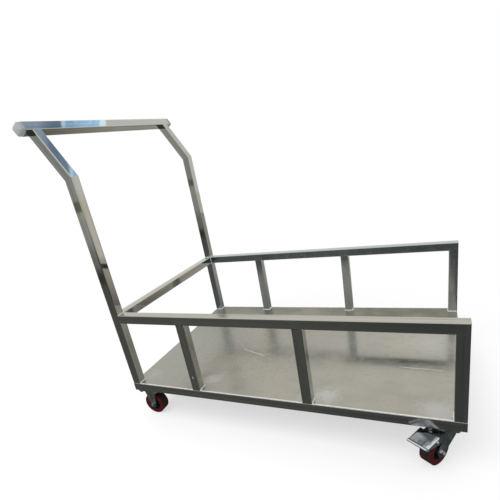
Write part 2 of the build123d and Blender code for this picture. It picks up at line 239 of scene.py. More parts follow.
class Tree:
    """The nodes of a material or a world. Places and sizes are in metres, on object coordinates."""

    def __init__(self, owner):
        """The nodes of a new material or world."""
        owner.use_nodes = True
        self.owner = owner
        self.nodes = owner.node_tree.nodes
        self.links = owner.node_tree.links

    def add(self, kind, inputs=None, **settings):
        """A new node with its settings made and each named input set or linked."""
        made = self.nodes.new(f"ShaderNode{kind}")
        for name, value in settings.items():
            setattr(made, name, value)
        for name, value in (inputs or {}).items():
            if isinstance(value, bpy.types.NodeSocket):
                self.links.new(value, made.inputs[name])
            else:
                made.inputs[name].default_value = value
        return made

    def maths(self, operation, first, second=0.0, third=0.0):
        """One sum worked out on numbers or outputs."""
        return self.add("Math", {0: first, 1: second, 2: third}, operation=operation).outputs[0]

    def times(self, first, second):
        """A product."""
        return self.maths("MULTIPLY", first, second)

    def scaled(self, value, factor, offset):
        """A value times a factor, plus an offset."""
        return self.maths("MULTIPLY_ADD", value, factor, offset)

    def size_of(self, value):
        """A value without its sign."""
        return self.maths("ABSOLUTE", value)

    def vector(self, operation, first, second=(0, 0, 0)):
        """One sum worked out on vectors, which gives a number for a length or a product."""
        made = self.add("VectorMath", {0: first, 1: second}, operation=operation)
        return made.outputs["Value" if operation in ("DISTANCE", "LENGTH", "DOT_PRODUCT") else "Vector"]

    def grade(self, value, start, end, low_value=0.0, high_value=1.0):
        """A smooth step of value, from low_value at start to high_value at end."""
        limits = {"From Min": start, "From Max": end, "To Min": low_value, "To Max": high_value}
        return self.add("MapRange", {"Value": value, **limits}, interpolation_type="SMOOTHSTEP").outputs[0]

    def blend(self, share, first, second, mode="MIX"):
        """Two colours mixed by a share."""
        inputs = {0: share, 6: opaque(first), 7: opaque(second)}
        return self.add("Mix", inputs, data_type="RGBA", blend_type=mode, clamp_factor=True).outputs[2]

    def coordinates(self):
        """The place on the piece."""
        return self.add("TexCoord").outputs["Object"]

    def split(self, vector=None):
        """The X, Y and Z outputs of a vector, or of the place on the piece."""
        return self.add("SeparateXYZ", {0: self.coordinates() if vector is None else vector}).outputs

    def pattern(self, size, turn=(0, 0, 0), place=(0, 0, 0)):
        """The place on the piece counted in features of a size, turned and centred."""
        size = size if isinstance(size, tuple) else (size, size, size)
        inputs = {"Vector": self.coordinates(), "Location": place, "Rotation": turn, "Scale": size}
        return self.add("Mapping", inputs, vector_type="TEXTURE").outputs[0]

    def noise(self, size, turn=(0, 0, 0), place=(0, 0, 0), detail=2.0, roughness=0.5):
        """A cloudy value between 0 and 1."""
        cloud = {"Scale": 1.0, "Detail": detail, "Roughness": roughness}
        return self.add("TexNoise", {"Vector": self.pattern(size, turn, place), **cloud}).outputs["Fac"]

    def cells(self, size, turn):
        """The distance to the nearest of scattered points."""
        inputs = {"Vector": self.pattern(size, turn), "Scale": 1.0}
        return self.add("TexVoronoi", inputs, feature="F1").outputs["Distance"]

    def seen_directly(self):
        """1 for rays from the camera, from gloss and from glass."""
        path = self.add("LightPath").outputs
        mirrored = self.maths("MAXIMUM", path["Is Glossy Ray"], path["Is Transmission Ray"])
        return self.maths("MAXIMUM", path["Is Camera Ray"], mirrored)


class Finish(Tree):
    """The nodes of one finish, with the colours that a user may change."""

    def __init__(self, name, **values):
        """A new material with its shader's own sockets set."""
        super().__init__(bpy.data.materials.new(name))
        self.colours = bpy.context.scene.trolley_finish
        self.shader = self.nodes["Principled BSDF"].inputs
        for socket, value in values.items():
            self.shader[socket.replace("_", " ").title().replace("Ior", "IOR")].default_value = value

    def done(self, colour, rough, height, depth, strength=1.0):
        """The material, with its colour, roughness and bump of a depth linked."""
        bump = self.add("Bump", {"Height": height, "Distance": depth, "Strength": strength})
        for socket, output in (("Base Color", colour), ("Roughness", rough), ("Normal", bump.outputs[0])):
            self.links.new(output, self.shader[socket])
        return self.owner


# Finishes

def joint_patches(tree):
    """A value that is 1 where posts, rails and uprights were ground flush after welding."""
    place = tree.split()
    reach = 0.021
    near = []
    for axis, lines in ((X, POST_LINES), (Z, (BASE_TOP - TUBE / 2, RAIL_TOP - TUBE / 2))):
        nearest = None
        for line in lines:
            gap = tree.size_of(tree.maths("SUBTRACT", place[axis], line))
            nearest = gap if nearest is None else tree.maths("MINIMUM", nearest, gap)
        near.append(tree.grade(nearest, reach, reach * 0.6))
    outer = tree.grade(tree.size_of(place[Y]), SIDE_FACE - 0.04, SIDE_FACE - 0.03)
    return tree.times(tree.times(*near), outer)


def steel_tube(name, along, dullness=1.0, turn=(0, 0, 0)):
    """Polished stainless tube: drawn streaks along it, faint clouds, handling marks and ground joints, and
    painted reflections: bluer towards the rear below the rails, warmer on faces that look up.
    """
    tree = Finish(name, metallic=1.0)
    steel = tree.colours.tube_steel
    slow, fine, broad = 0.35, 0.0011, 0.0075
    fine_size = tuple(slow if axis == along else fine for axis in "xyz")
    broad_size = tuple(slow * 1.7 if axis == along else broad for axis in "xyz")
    streaks = tree.noise(fine_size, turn, detail=3.0, roughness=0.6)
    bands = tree.noise(broad_size, turn, (0.13, 0.07, 0.03))
    clouds = tree.noise(0.06, detail=4.0, roughness=0.6)
    smears = tree.noise((0.021, 0.021, 0.03), (0.3, 0.5, 0.2), detail=5.0, roughness=0.65)
    grinding = tree.noise((0.012, 0.0009, 0.0009), (0.4, 0.7, 0.3))
    worn = tree.times(joint_patches(tree), tree.grade(grinding, 0.35, 0.65, 0.55, 1.0))
    colour = tree.blend(tree.grade(bands, 0.32, 0.68), shaded(steel, 0.86), shaded(steel, 1.1))
    colour = tree.blend(tree.grade(clouds, 0.35, 0.75, 0.0, 0.35), colour, steel)
    colour = tree.blend(tree.times(worn, 0.14), colour, (0.56, 0.58, 0.57))
    place = tree.split()
    # Painted reflection: below the top of the rails, the tubes towards the rear are tinted bluer.
    below_rail = tree.grade(place[Z], RAIL_TOP + 0.06, RAIL_TOP + 0.01)
    painted_cool_reflection = tree.times(tree.grade(place[Y], 0.1, 0.28, 0.0, 0.8), below_rail)
    colour = tree.blend(painted_cool_reflection, colour, (0.46, 0.505, 0.525))
    # Painted reflection: faces that look up are made warmer and a little darker.
    upward = tree.split(tree.add("NewGeometry").outputs["Normal"])[Z]
    colour = tree.blend(tree.grade(upward, 0.5, 0.9), colour, (0.93, 0.92, 0.84), "MULTIPLY")
    rough = tree.scaled(streaks, 0.05, 0.1)
    rough = tree.scaled(tree.grade(clouds, 0.4, 0.75), 0.07, rough)
    rough = tree.scaled(tree.grade(smears, 0.56, 0.68), 0.09, rough)
    rough = tree.times(tree.scaled(worn, 0.06, rough), dullness)
    height = tree.scaled(streaks, 0.003, tree.noise(0.09, detail=1.0))
    return tree.done(colour, rough, tree.scaled(worn, 0.02, height), 0.00035)


# Each smudge wiped on the deck: its place, its reach and how clean it is
SMUDGES = (
    (-0.172, -0.25, 0.042, 0.9),
    (-0.4, -0.25, 0.04, 0.5),
    (0.15, -0.288, 0.035, 0.6),
    (0.205, -0.268, 0.05, 1.0),
    (0.475, -0.28, 0.06, 0.7),
    (0.47, 0.04, 0.12, 0.8),
)
# Each scratch in the deck: where it starts, where it ends and its width
SCRATCHES = (
    (-0.149, -0.054, -0.045, -0.093, 0.0012),
    (0.375, -0.1, 0.5, -0.105, 0.0008),
)


def wiped_smudges(tree, mottle):
    """A value that rises to a smudge's share at its middle, with ragged edges."""
    ragged = tree.scaled(mottle, 0.05, -0.025)
    cleaned = 0.0
    for across, deep, reach, share in SMUDGES:
        gap = tree.vector("DISTANCE", tree.coordinates(), (across, deep, DECK_TOP))
        spot = tree.grade(tree.maths("ADD", gap, ragged), reach, 0.0, 0.0, share)
        cleaned = tree.maths("MAXIMUM", cleaned, spot)
    return cleaned


def scratched_lines(tree):
    """A value that is 1 in thin lines that wander a little."""
    wander = tree.noise(0.012)
    lines = 0.0
    for start_x, start_y, end_x, end_y, width in SCRATCHES:
        length = math.hypot(end_x - start_x, end_y - start_y)
        turn = math.atan2(end_y - start_y, end_x - start_x)
        along = tree.split(tree.pattern(1, (0, 0, turn), (start_x, start_y, 0)))
        off = tree.scaled(wander, 0.006, tree.maths("ADD", along[Y], -0.003))
        thin = tree.grade(tree.size_of(off), width, width * 0.3)
        ends = tree.times(tree.grade(along[X], 0.0, 0.006), tree.grade(along[X], length, length - 0.02))
        lines = tree.maths("MAXIMUM", lines, tree.times(thin, ends))
    return lines


def steel_deck():
    """Cloudy stainless sheet: rolled grain, mottled haze, cleaned smudges and a few scratches, with painted
    shade towards the handle end and a painted highlight along the side edges.
    """
    tree = Finish("deck_sheet_steel", metallic=1.0)
    steel = tree.colours.deck_steel
    grain = tree.noise((0.22, 0.0012, 0.0012), detail=3.0, roughness=0.6)
    rolled = tree.noise((0.5, 0.03, 0.03), place=(0.1, 0.2, 0), detail=3.0)
    haze = tree.noise((0.11, 0.085, 0.1), detail=5.0, roughness=0.6)
    mottle = tree.noise((0.018, 0.014, 0.02), (0, 0, 0.4), detail=3.0, roughness=0.55)
    place = tree.split()
    cleaned = wiped_smudges(tree, mottle)
    lines = scratched_lines(tree)
    warmer = (steel[0] * 1.1, steel[1] * 1.05, steel[2])
    colour = tree.blend(tree.grade(haze, 0.32, 0.68), shaded(steel, 0.88), warmer)
    colour = tree.blend(tree.grade(rolled, 0.35, 0.65, 0.0, 0.4), colour, steel)
    colour = tree.blend(tree.grade(mottle, 0.5, 0.72, 0.0, 0.3), colour, (0.33, 0.315, 0.27))
    # Painted shade: the sheet is made darker towards the handle end.
    colour = tree.blend(tree.grade(place[X], -0.1, -0.35, 0.0, 0.6), colour, (0.31, 0.315, 0.28))
    colour = tree.blend(tree.times(cleaned, 0.6), colour, (0.56, 0.57, 0.54))
    colour = tree.blend(lines, colour, (0.95, 0.95, 0.93))
    # Painted highlight: a pale band along the sheet's side edges.
    edge = tree.grade(tree.size_of(place[Y]), SIDE_FACE - 0.006, SIDE_FACE - 0.001)
    colour = tree.blend(tree.times(edge, 0.7), colour, (0.75, 0.75, 0.72))
    rough = tree.grade(place[X], 0.0, 0.36, 0.19, 0.06)
    rough = tree.scaled(tree.grade(haze, 0.3, 0.72), 0.1, rough)
    rough = tree.scaled(grain, 0.03, rough)
    rough = tree.scaled(tree.grade(mottle, 0.5, 0.7), 0.04, rough)
    rough = tree.scaled(cleaned, 0.12, rough)
    height = tree.scaled(grain, 0.002, tree.noise((0.16, 0.13, 0.15), detail=1.0))
    return tree.done(colour, rough, tree.scaled(lines, -0.1, height), 0.0006)


def weld_steel():
    """Bright bead with a breath of straw and blue heat tint."""
    tree = Finish("weld_bead_steel", metallic=0.55)
    tint = tree.noise(0.009, detail=3.0)
    colour = tree.blend(tree.grade(tint, 0.45, 0.7, 0.0, 0.4), tree.colours.weld_steel, (0.6, 0.5, 0.36))
    colour = tree.blend(tree.grade(tint, 0.45, 0.3, 0.0, 0.3), colour, (0.36, 0.42, 0.55))
    ripples = tree.noise(0.0015)
    return tree.done(colour, tree.scaled(ripples, 0.25, 0.1), ripples, 0.0003, 0.5)


def plated_steel(name, setting, rough_low, rough_high):
    """Zinc or bright plating: fine press grain, faint clouds and small knocks."""
    tree = Finish(name, metallic=1.0)
    base = getattr(tree.colours, setting)
    clouds = tree.noise(0.02, detail=4.0)
    grain = tree.noise(0.0012, detail=3.0)
    knocks = tree.cells(0.012, (0.4, 0.2, 0.1))
    bluer = (base[0] * 0.98, base[1], min(base[2] * 1.06, 1.0))
    colour = tree.blend(tree.grade(clouds, 0.35, 0.68), shaded(base, 0.8), bluer)
    colour = tree.blend(tree.grade(knocks, 0.12, 0.04, 0.0, 0.5), colour, shaded(base, 0.5))
    rough = tree.scaled(grain, 0.08, tree.grade(clouds, 0.3, 0.7, rough_low, rough_high))
    return tree.done(colour, rough, grain, 0.00004)


def chrome_plate():
    """Bright chrome of the pedals, with smears and rubbed spots, and painted light: a painted dark reflection
    by the pin and before the lip, dark streaks that are partly painted reflection, and painted highlights
    along one side and on the lip.
    """
    tree = Finish("chrome_plated", metallic=1.0)
    trail = trail_of("front")
    pivot = joint_place("brake_front_press")
    mirrored = tree.vector("ABSOLUTE", tree.coordinates())
    from_pin = tree.vector("SUBTRACT", mirrored, (pivot.x, abs(pivot.y), pivot.z))
    along = tree.vector("DOT_PRODUCT", from_pin, (trail.x, -trail.y, 0))
    across = tree.vector("DOT_PRODUCT", from_pin, (-trail.y, -trail.x, 0))
    turn = (0, 0, math.radians(-34))
    smears = tree.noise((0.01, 0.034, 0.03), turn, (0.447, -0.322, 0.08), detail=3.0)
    spots = tree.noise(0.004, detail=3.0)
    # The smears' dark streaks are partly a painted reflection.
    colour = tree.blend(tree.grade(smears, 0.46, 0.72), (0.62, 0.66, 0.7), (0.2, 0.23, 0.26))
    colour = tree.blend(tree.grade(spots, 0.6, 0.72, 0.0, 0.5), colour, (0.4, 0.42, 0.44))
    # Painted dark reflection near the pin.
    painted_dark_reflection = tree.grade(tree.scaled(across, -0.3, along), 0.018, 0.006)
    colour = tree.blend(painted_dark_reflection, colour, (0.15, 0.18, 0.2))
    # Painted highlight along one side of the plate.
    colour = tree.blend(tree.grade(across, 0.016, 0.021), colour, (0.66, 0.7, 0.74))
    # Painted dark reflection in the groove before the lip.
    colour = tree.blend(tree.grade(along, 0.034, 0.037), colour, (0.2, 0.23, 0.25))
    # Painted highlight on the rolled lip.
    colour = tree.blend(tree.grade(along, 0.039, 0.0405), colour, (0.7, 0.72, 0.74))
    rough = tree.scaled(spots, 0.05, tree.grade(smears, 0.35, 0.65, 0.06, 0.16))
    return tree.done(colour, rough, spots, 0.00004)


def cap_plastic():
    """Pale moulded plastic with a satin skin and faint greyed scuffs."""
    tree = Finish("cap_plastic_satin", ior=1.49)
    pale = tree.colours.cap_plastic
    scuffs = tree.noise((0.008, 0.004, 0.008), (0.4, 0.2, 0.6))
    colour = tree.blend(tree.grade(scuffs, 0.5, 0.75, 0.0, 0.3), pale, shaded(pale, 0.72))
    rough = tree.grade(scuffs, 0.35, 0.7, 0.45, 0.6)
    return tree.done(colour, rough, tree.noise(0.0015), 0.000005)


def tread_side():
    """Cast red tread with faint flow clouds and dark grit specks."""
    tree = Finish("tread_cast_red", ior=1.5, specular_ior_level=0.2)
    red = tree.colours.tread_red
    flow = tree.noise(0.01, detail=4.0)
    grit = tree.noise(0.0012, detail=3.0)
    colour = tree.blend(tree.grade(flow, 0.32, 0.68), shaded(red, 0.6), red)
    colour = tree.blend(tree.grade(grit, 0.62, 0.75, 0.0, 0.5), colour, (0.04, 0.02, 0.02))
    return tree.done(colour, tree.grade(flow, 0.3, 0.7, 0.3, 0.45), grit, 0.00006)


def tread_running():
    """The running face: rubbed dull, with dust and fine dark grit."""
    tree = Finish("tread_running_face", ior=1.5, specular_ior_level=0.25)
    dust = tree.noise(0.006, detail=5.0, roughness=0.65)
    grit = tree.noise(0.0011, detail=3.0)
    worn = tree.grade(dust, 0.3, 0.55, 0.3, 1.0)
    colour = tree.blend(worn, tree.colours.tread_red, tree.colours.tread_worn)
    colour = tree.blend(tree.grade(grit, 0.55, 0.75, 0.0, 0.6), colour, (0.05, 0.04, 0.038))
    return tree.done(colour, tree.grade(dust, 0.3, 0.7, 0.5, 0.75), grit, 0.00012)


def core_plastic():
    """Black moulded plastic with a fine spark texture and settled dust."""
    tree = Finish("core_plastic_black", ior=1.49, specular_ior_level=0.2)
    spark = tree.noise(0.0007)
    dust = tree.noise(0.008, detail=4.0)
    settled = tree.grade(dust, 0.5, 0.75, 0.0, 0.4)
    colour = tree.blend(settled, tree.colours.core_black, (0.03, 0.03, 0.028))
    return tree.done(colour, tree.grade(dust, 0.3, 0.7, 0.34, 0.6), spark, 0.00006)


# Each finish: the function that makes it and what it is given
FINISHES = {
    "tube_x": (steel_tube, "tube_steel_lengthwise", "x"),
    "tube_y": (steel_tube, "tube_steel_crosswise", "y"),
    "tube_z": (steel_tube, "tube_steel_upright", "z"),
    "tube_upright": (steel_tube, "tube_steel_handle_upright", "z", 0.3),
    "tube_arm": (steel_tube, "tube_steel_leaning", "z", 0.25, (0, -ARM_LEAN, 0)),
    "tube_cross": (steel_tube, "tube_steel_top_cross", "y", 0.35),
    "tube_bar": (steel_tube, "tube_steel_handle", "y", 0.25),
    "deck": (steel_deck,),
    "weld": (weld_steel,),
    "fork": (plated_steel, "fork_plated", "fork_zinc", 0.2, 0.36),
    "bright": (plated_steel, "bright_plated", "bright_zinc", 0.06, 0.18),
    "chrome": (chrome_plate,),
    "cap": (cap_plastic,),
    "tread": (tread_side,),
    "running": (tread_running,),
    "core": (core_plastic,),
}
made_finishes = {}


def finish_of(name):
    """A finish by its name, made the first time that it is asked for."""
    if name not in made_finishes:
        maker, *values = FINISHES[name]
        made_finishes[name] = maker(*values)
    return made_finishes[name]


def dress(finish, *names):
    """A finish given to CAD nodes that stay shown, of which a name with a gap is one on each side."""
    for name in names:
        for side_name in SIDES if "{}" in name else ("",):
            node = nodes[name.format(side_name)]
            node.data.materials.clear()
            node.data.materials.append(finish_of(finish))


# Small tools for modelling

def deselect():
    """Nothing selected, in object mode."""
    if bpy.context.object and bpy.context.object.mode != "OBJECT":
        bpy.ops.object.mode_set(mode="OBJECT")
    bpy.ops.object.select_all(action="DESELECT")


def pick(*pieces):
    """Only these pieces selected, the first of them active."""
    deselect()
    for piece in pieces:
        piece.select_set(True)
    bpy.context.view_layer.objects.active = pieces[0]


def named(name):
    """The active piece, under its own name."""
    piece = bpy.context.object
    piece.name = name
    piece.data.name = name
    return piece


def begin(name, add, **settings):
    """A primitive added with nothing else selected, as the start of a piece."""
    deselect()
    add(**settings)
    return named(name)


def choose(piece, kind, test):
    """Only the faces, edges or points that pass a test are selected, in edit mode."""
    bpy.context.view_layer.objects.active = piece
    bpy.ops.object.mode_set(mode="EDIT")
    bpy.ops.mesh.select_mode(type=kind)
    bpy.ops.mesh.select_all(action="DESELECT")
    shape = bmesh.from_edit_mesh(piece.data)
    shape.normal_update()
    parts = {"FACE": shape.faces, "EDGE": shape.edges, "VERT": shape.verts}[kind]
    for part in parts:
        if test(part):
            part.select_set(True)
    shape.select_flush_mode()
    bmesh.update_edit_mesh(piece.data)


def choose_all(piece):
    """The whole of a piece selected, in edit mode."""
    choose(piece, "VERT", lambda point: True)


def shape_whole(piece, size, shift=(0, 0, 0)):
    """A whole piece resized and then moved, in edit mode."""
    choose_all(piece)
    bpy.ops.transform.resize(value=size)
    bpy.ops.transform.translate(value=shift)


def bevel(offset, segments):
    """The chosen edges rounded, or cut off with one segment."""
    bpy.ops.mesh.bevel(offset=offset, segments=segments, affect="EDGES")


def sink(shift):
    """The chosen parts moved up or down."""
    bpy.ops.transform.translate(value=(0, 0, shift))


def modify(piece, kind, **settings):
    """A modifier added with its settings and applied."""
    bpy.ops.object.mode_set(mode="OBJECT")
    bpy.context.view_layer.objects.active = piece
    modifier = piece.modifiers.new(kind.title(), kind)
    for name, value in settings.items():
        setattr(modifier, name, value)
    bpy.ops.object.modifier_apply(modifier=modifier.name)


def ease(piece, width, segments, degrees):
    """Every edge sharper than an angle rounded."""
    limit = math.radians(degrees)
    modify(piece, "BEVEL", width=width, segments=segments, limit_method="ANGLE", angle_limit=limit)


def smooth(piece, degrees=35):
    """Smooth shading that keeps the edges sharper than the given angle."""
    pick(piece)
    bpy.ops.object.shade_smooth_by_angle(angle=math.radians(degrees))


def put(piece, place):
    """A piece moved by a matrix that is then applied to its mesh."""
    pick(piece)
    piece.matrix_world = place
    bpy.ops.object.transform_apply(location=True, rotation=True, scale=True)


def copy_of(source, name, place):
    """A copy with its own mesh, moved by a matrix."""
    pick(source)
    bpy.ops.object.duplicate(linked=False)
    piece = named(name)
    put(piece, place)
    return piece


def joined(name, pieces):
    """Several pieces made one."""
    pick(*pieces)
    if len(pieces) > 1:
        bpy.ops.object.join()
    return named(name)


def discard(*pieces):
    """Pieces that were only copied from taken away."""
    for piece in pieces:
        bpy.data.objects.remove(piece)


def turned(degrees, axis):
    """A turn about one axis."""
    return Matrix.Rotation(math.radians(degrees), 4, axis)


def axes(place, right, forward, upward):
    """A matrix that stands at a place and turns X, Y and Z to the given directions."""
    turn = Matrix((right, forward, upward)).transposed().to_4x4()
    return Matrix.Translation(place) @ turn


def along_axle(place, axle):
    """A matrix that turns a piece made about Z to lie along an axle."""
    axle = Vector(axle).normalized()
    across = UP.cross(axle)
    return axes(place, across, axle.cross(across), axle)


def trail_of(side_name):
    """The level direction in which a swivel caster's wheel trails its kingpin."""
    trail = joint_place(f"wheel_open_{side_name}_spin") - joint_place(f"swivel_{side_name}_turn")
    return (trail * FLAT).normalized()


def settle(piece, finish, slot, body, *replaced):
    """A finished piece gets its finish and its body, and stands for CAD nodes; the slot that it is given is
    not used.
    """
    if finish:
        piece.data.materials.clear()
        piece.data.materials.append(finish_of(finish))
    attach(piece, body)
    if replaced:
        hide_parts(*replaced)


def hex_block(name, height):
    """A hexagon block on the floor, with its corners chamfered at the top."""
    corner = HEX_ACROSS / 2 / math.cos(math.radians(30))
    cylinder = bpy.ops.mesh.primitive_cylinder_add
    block = begin(name, cylinder, vertices=6, radius=corner, depth=height, location=(0, 0, height / 2))
    cutter = begin(
        "chamfer_cutter", cylinder,
        vertices=36, radius=corner * 1.002, depth=height * 1.002, location=(0, 0, height / 2),
    )
    choose(cutter, "FACE", lambda face: face.normal.z > 0.9)
    bpy.ops.mesh.inset(thickness=corner - HEX_ACROSS * 0.47)
    choose(cutter, "VERT", lambda point: point.co.z > 0 and point.co.xy.length > corner * 0.99)
    sink((HEX_ACROSS * 0.5 - corner) * 0.9)
    modify(block, "BOOLEAN", operation="INTERSECT", object=cutter, solver="EXACT")
    discard(cutter)
    put(block, block.matrix_world.copy())
    return block


# Operators

class TROLLEY_OT_frame_finish(bpy.types.Operator):
    """Give the tubes, the deck and the plates under the frame their steel."""

    bl_idname = "trolley.frame_finish"
    bl_label = "Frame finish"

    def execute(self, context):
        dress("tube_x", "base_rail_{}", "top_rail_{}")
        dress("tube_y", "base_end_rail_handle", "base_end_rail_open")
        dress("tube_y", "base_cross_tube_1", "base_cross_tube_2")
        dress("tube_z", "end_post_{}", "mid_post_{}_1", "mid_post_{}_2")
        dress("tube_cross", "top_cross_rail")
        dress("tube_upright", "upright_{}")
        dress("tube_arm", "handle_arm_{}")
        dress("tube_bar", "handle_bar")
        dress("deck", "deck_sheet")
        dress("fork", "corner_plate_handle_{}", "corner_plate_open_{}")
        return {"FINISHED"}


class TROLLEY_OT_caster_finish(bpy.types.Operator):
    """Give the casters' forks, plates, pins, sleeves and shoes their plating."""

    bl_idname = "trolley.caster_finish"
    bl_label = "Caster finish"

    def execute(self, context):
        dress("fork", "rigid_fork_{}", "swivel_fork_{}", "swivel_plate_{}")
        dress("fork", "swivel_retainers", "brake_shoe_{}")
        dress("bright", "kingpins", "brake_pin_{}", "axle_sleeves_handle_end", "axle_sleeve_open_{}")
        return {"FINISHED"}


class TROLLEY_OT_caps(bpy.types.Operator):
    """Mould the rounded plastic caps that close the handle bar."""

    bl_idname = "trolley.caps"
    bl_label = "Handle caps"

    def cap(self, reach):
        """A crowned head and its plug, Z out of the bar and X and Y square to its faces."""
        width, wall = TUBE + 2 * CAP_LIP, reach - CAP_CROWN
        cap = begin("cap", bpy.ops.mesh.primitive_cube_add, size=1.0)
        shape_whole(cap, (width, width, wall), (0, 0, wall / 2))
        choose(cap, "EDGE", lambda edge: abs(edge.verts[0].co.z - edge.verts[1].co.z) > wall * 0.5)
        bevel(7 * MM, 6)
        choose(cap, "EDGE", lambda edge: min(point.co.z for point in edge.verts) > wall * 0.9)
        bevel(6.5 * MM, 6)
        choose(cap, "FACE", lambda face: face.normal.z > 0.99)
        bpy.ops.mesh.extrude_region()
        bpy.ops.transform.resize(value=(0.5, 0.5, 1))
        sink(CAP_CROWN)
        plug = begin("plug", bpy.ops.mesh.primitive_cube_add, size=1.0)
        shape_whole(plug, (TUBE - 3.4 * MM, TUBE - 3.4 * MM, 15 * MM), (0, 0, -7 * MM))
        bevel(1 * MM, 2)
        return joined("cap", [cap, plug])

    def execute(self, context):
        bar_end = high("handle_bar", Y)
        cap = self.cap(high("handle_cap_rear", Y) - bar_end)
        for side_name, side in SIDES.items():
            outward = Vector((0, side, 0))
            end = Vector((middle("handle_bar", X), side * bar_end, middle("handle_bar", Z)))
            place = axes(end, ARM_ALONG, outward.cross(ARM_ALONG), outward)
            piece = copy_of(cap, f"cap_{side_name}", place)
            smooth(piece, 50)
            settle(piece, "cap", "cap_plastic", "frame", f"handle_cap_{side_name}")
        discard(cap)
        return {"FINISHED"}


class TROLLEY_OT_welds(bpy.types.Operator):
    """Run weld beads along the seams that weren't ground flush."""

    bl_idname = "trolley.welds"
    bl_label = "Welds"

    def row(self, start, end, radius, pitch, seed):
        """Overlapping scales of weld from start to end."""
        start, end = Vector(start), Vector(end)
        run = end - start
        row = begin("weld_row", bpy.ops.mesh.primitive_uv_sphere_add, segments=8, ring_count=5, radius=radius)
        shape_whole(row, (pitch / radius * 0.9, 1, 1))
        count = max(2, round(run.length / pitch))
        step = (run.length / (count - 1), 0, 0)
        modify(
            row, "ARRAY",
            count=count, use_relative_offset=False, use_constant_offset=True, constant_offset_displace=step,
        )
        choose_all(row)
        bpy.ops.transform.vertex_random(offset=radius * 0.3, seed=seed)
        forward = run.normalized()
        side = UP if abs(forward.z) < 0.7 else Vector((0, 1, 0))
        across = side.cross(forward).normalized()
        put(row, axes(start, forward, across, forward.cross(across)))
        return row

    def foot_rows(self, side, line, ends):
        """Where a post stands on the deck and meets the rail above it."""
        inner, outer = side * (SIDE_FACE - TUBE), side * (SIDE_FACE - WELD_SHORT)
        deck, rail = DECK_TOP + WELD_PROUD, RAIL_TOP - TUBE - WELD_PROUD
        back = inner - side * WELD_PROUD
        start = max(line - TUBE / 2, HANDLE_FACE + WELD_SHORT)
        end = min(line + TUBE / 2, OPEN_FACE - WELD_SHORT)
        rows = [((start, back, deck), (end, back, deck))]
        for end in ends:
            place = line + end * (TUBE / 2 + WELD_PROUD)
            rows += [((place, outer, level), (place, inner + side * 2 * MM, level)) for level in (deck, rail)]
        return rows

    def handle_rows(self, side):
        """Where rails meet the upright, and where the arm meets the bar."""
        start, face = HANDLE_FACE + WELD_SHORT, HANDLE_FACE + TUBE + WELD_PROUD
        outer, inner = side * (SIDE_FACE - WELD_SHORT), side * (SIDE_FACE - TUBE - WELD_PROUD)
        below, above = RAIL_TOP - TUBE - WELD_PROUD, RAIL_TOP + 0.2 * MM
        tip = Vector((HANDLE_FACE + TUBE, 0, BEND)) + ARM_ALONG * (ARM_LENGTH - 0.3 * MM)
        back = tip + ARM_INWARD * (TUBE + WELD_PROUD)
        return [
            ((face, outer, below), (face, inner, below)),
            ((face, outer, above), (face, inner, above)),
            ((start, inner, above), (face, inner, above)),
            ((start, inner, below), (face, inner, below)),
            ((face, inner, below), (face, inner, above)),
            ((back.x, outer, back.z), (back.x, inner, back.z)),
        ]

    def spatter(self, side):
        """A drop of weld left on the first middle post."""
        place = Vector((POST_LINES[1], side * (SIDE_FACE - 0.6 * MM), DECK_TOP + 43 * MM))
        return place, place + Vector((-1.5 * MM, 0, 4 * MM))

    def edge_rows(self, side):
        """The fine weld between the deck's edge and the rail, bay by bay."""
        place, level = side * (SIDE_FACE - 0.6 * MM), DECK_TOP - 0.5 * MM
        gap = TUBE / 2 + 1.5 * MM
        bays = zip(POST_LINES[:-1], POST_LINES[1:])
        return [((start + gap, place, level), (end - gap, place, level)) for start, end in bays]

    def beads(self, name, rows, radius, pitch, seed):
        """Rows of weld as one piece, each row with a seed of its own."""
        made = [
            self.row(start, end, radius, pitch, seed + number) for number, (start, end) in enumerate(rows)
        ]
        return joined(name, made)

    def execute(self, context):
        seed = 1
        for side_name, side in SIDES.items():
            radius = (2.0 + 0.4 * side) * MM
            upright = self.handle_rows(side)
            feet = [self.spatter(side)]
            for line, ends in zip(POST_LINES, ((1,), (-1, 1), (-1, 1), (-1,))):
                feet += self.foot_rows(side, line, ends)
            edges = self.edge_rows(side)
            groups = ((upright, 1.2 * MM, 2.0 * MM), (feet, radius, 2.0 * MM), (edges, 1.25 * MM, 2.6 * MM))
            made = []
            for rows, thick, pitch in groups:
                made.append(self.beads("weld_rows", rows, thick, pitch, seed))
                seed += len(rows)
            for kind, pieces in (("weld_beads", made[:2]), ("deck_edge_weld", made[2:])):
                piece = joined(f"{kind}_{side_name}", pieces)
                smooth(piece, 60)
                settle(piece, "weld", "frame_steel", "frame")
        return {"FINISHED"}


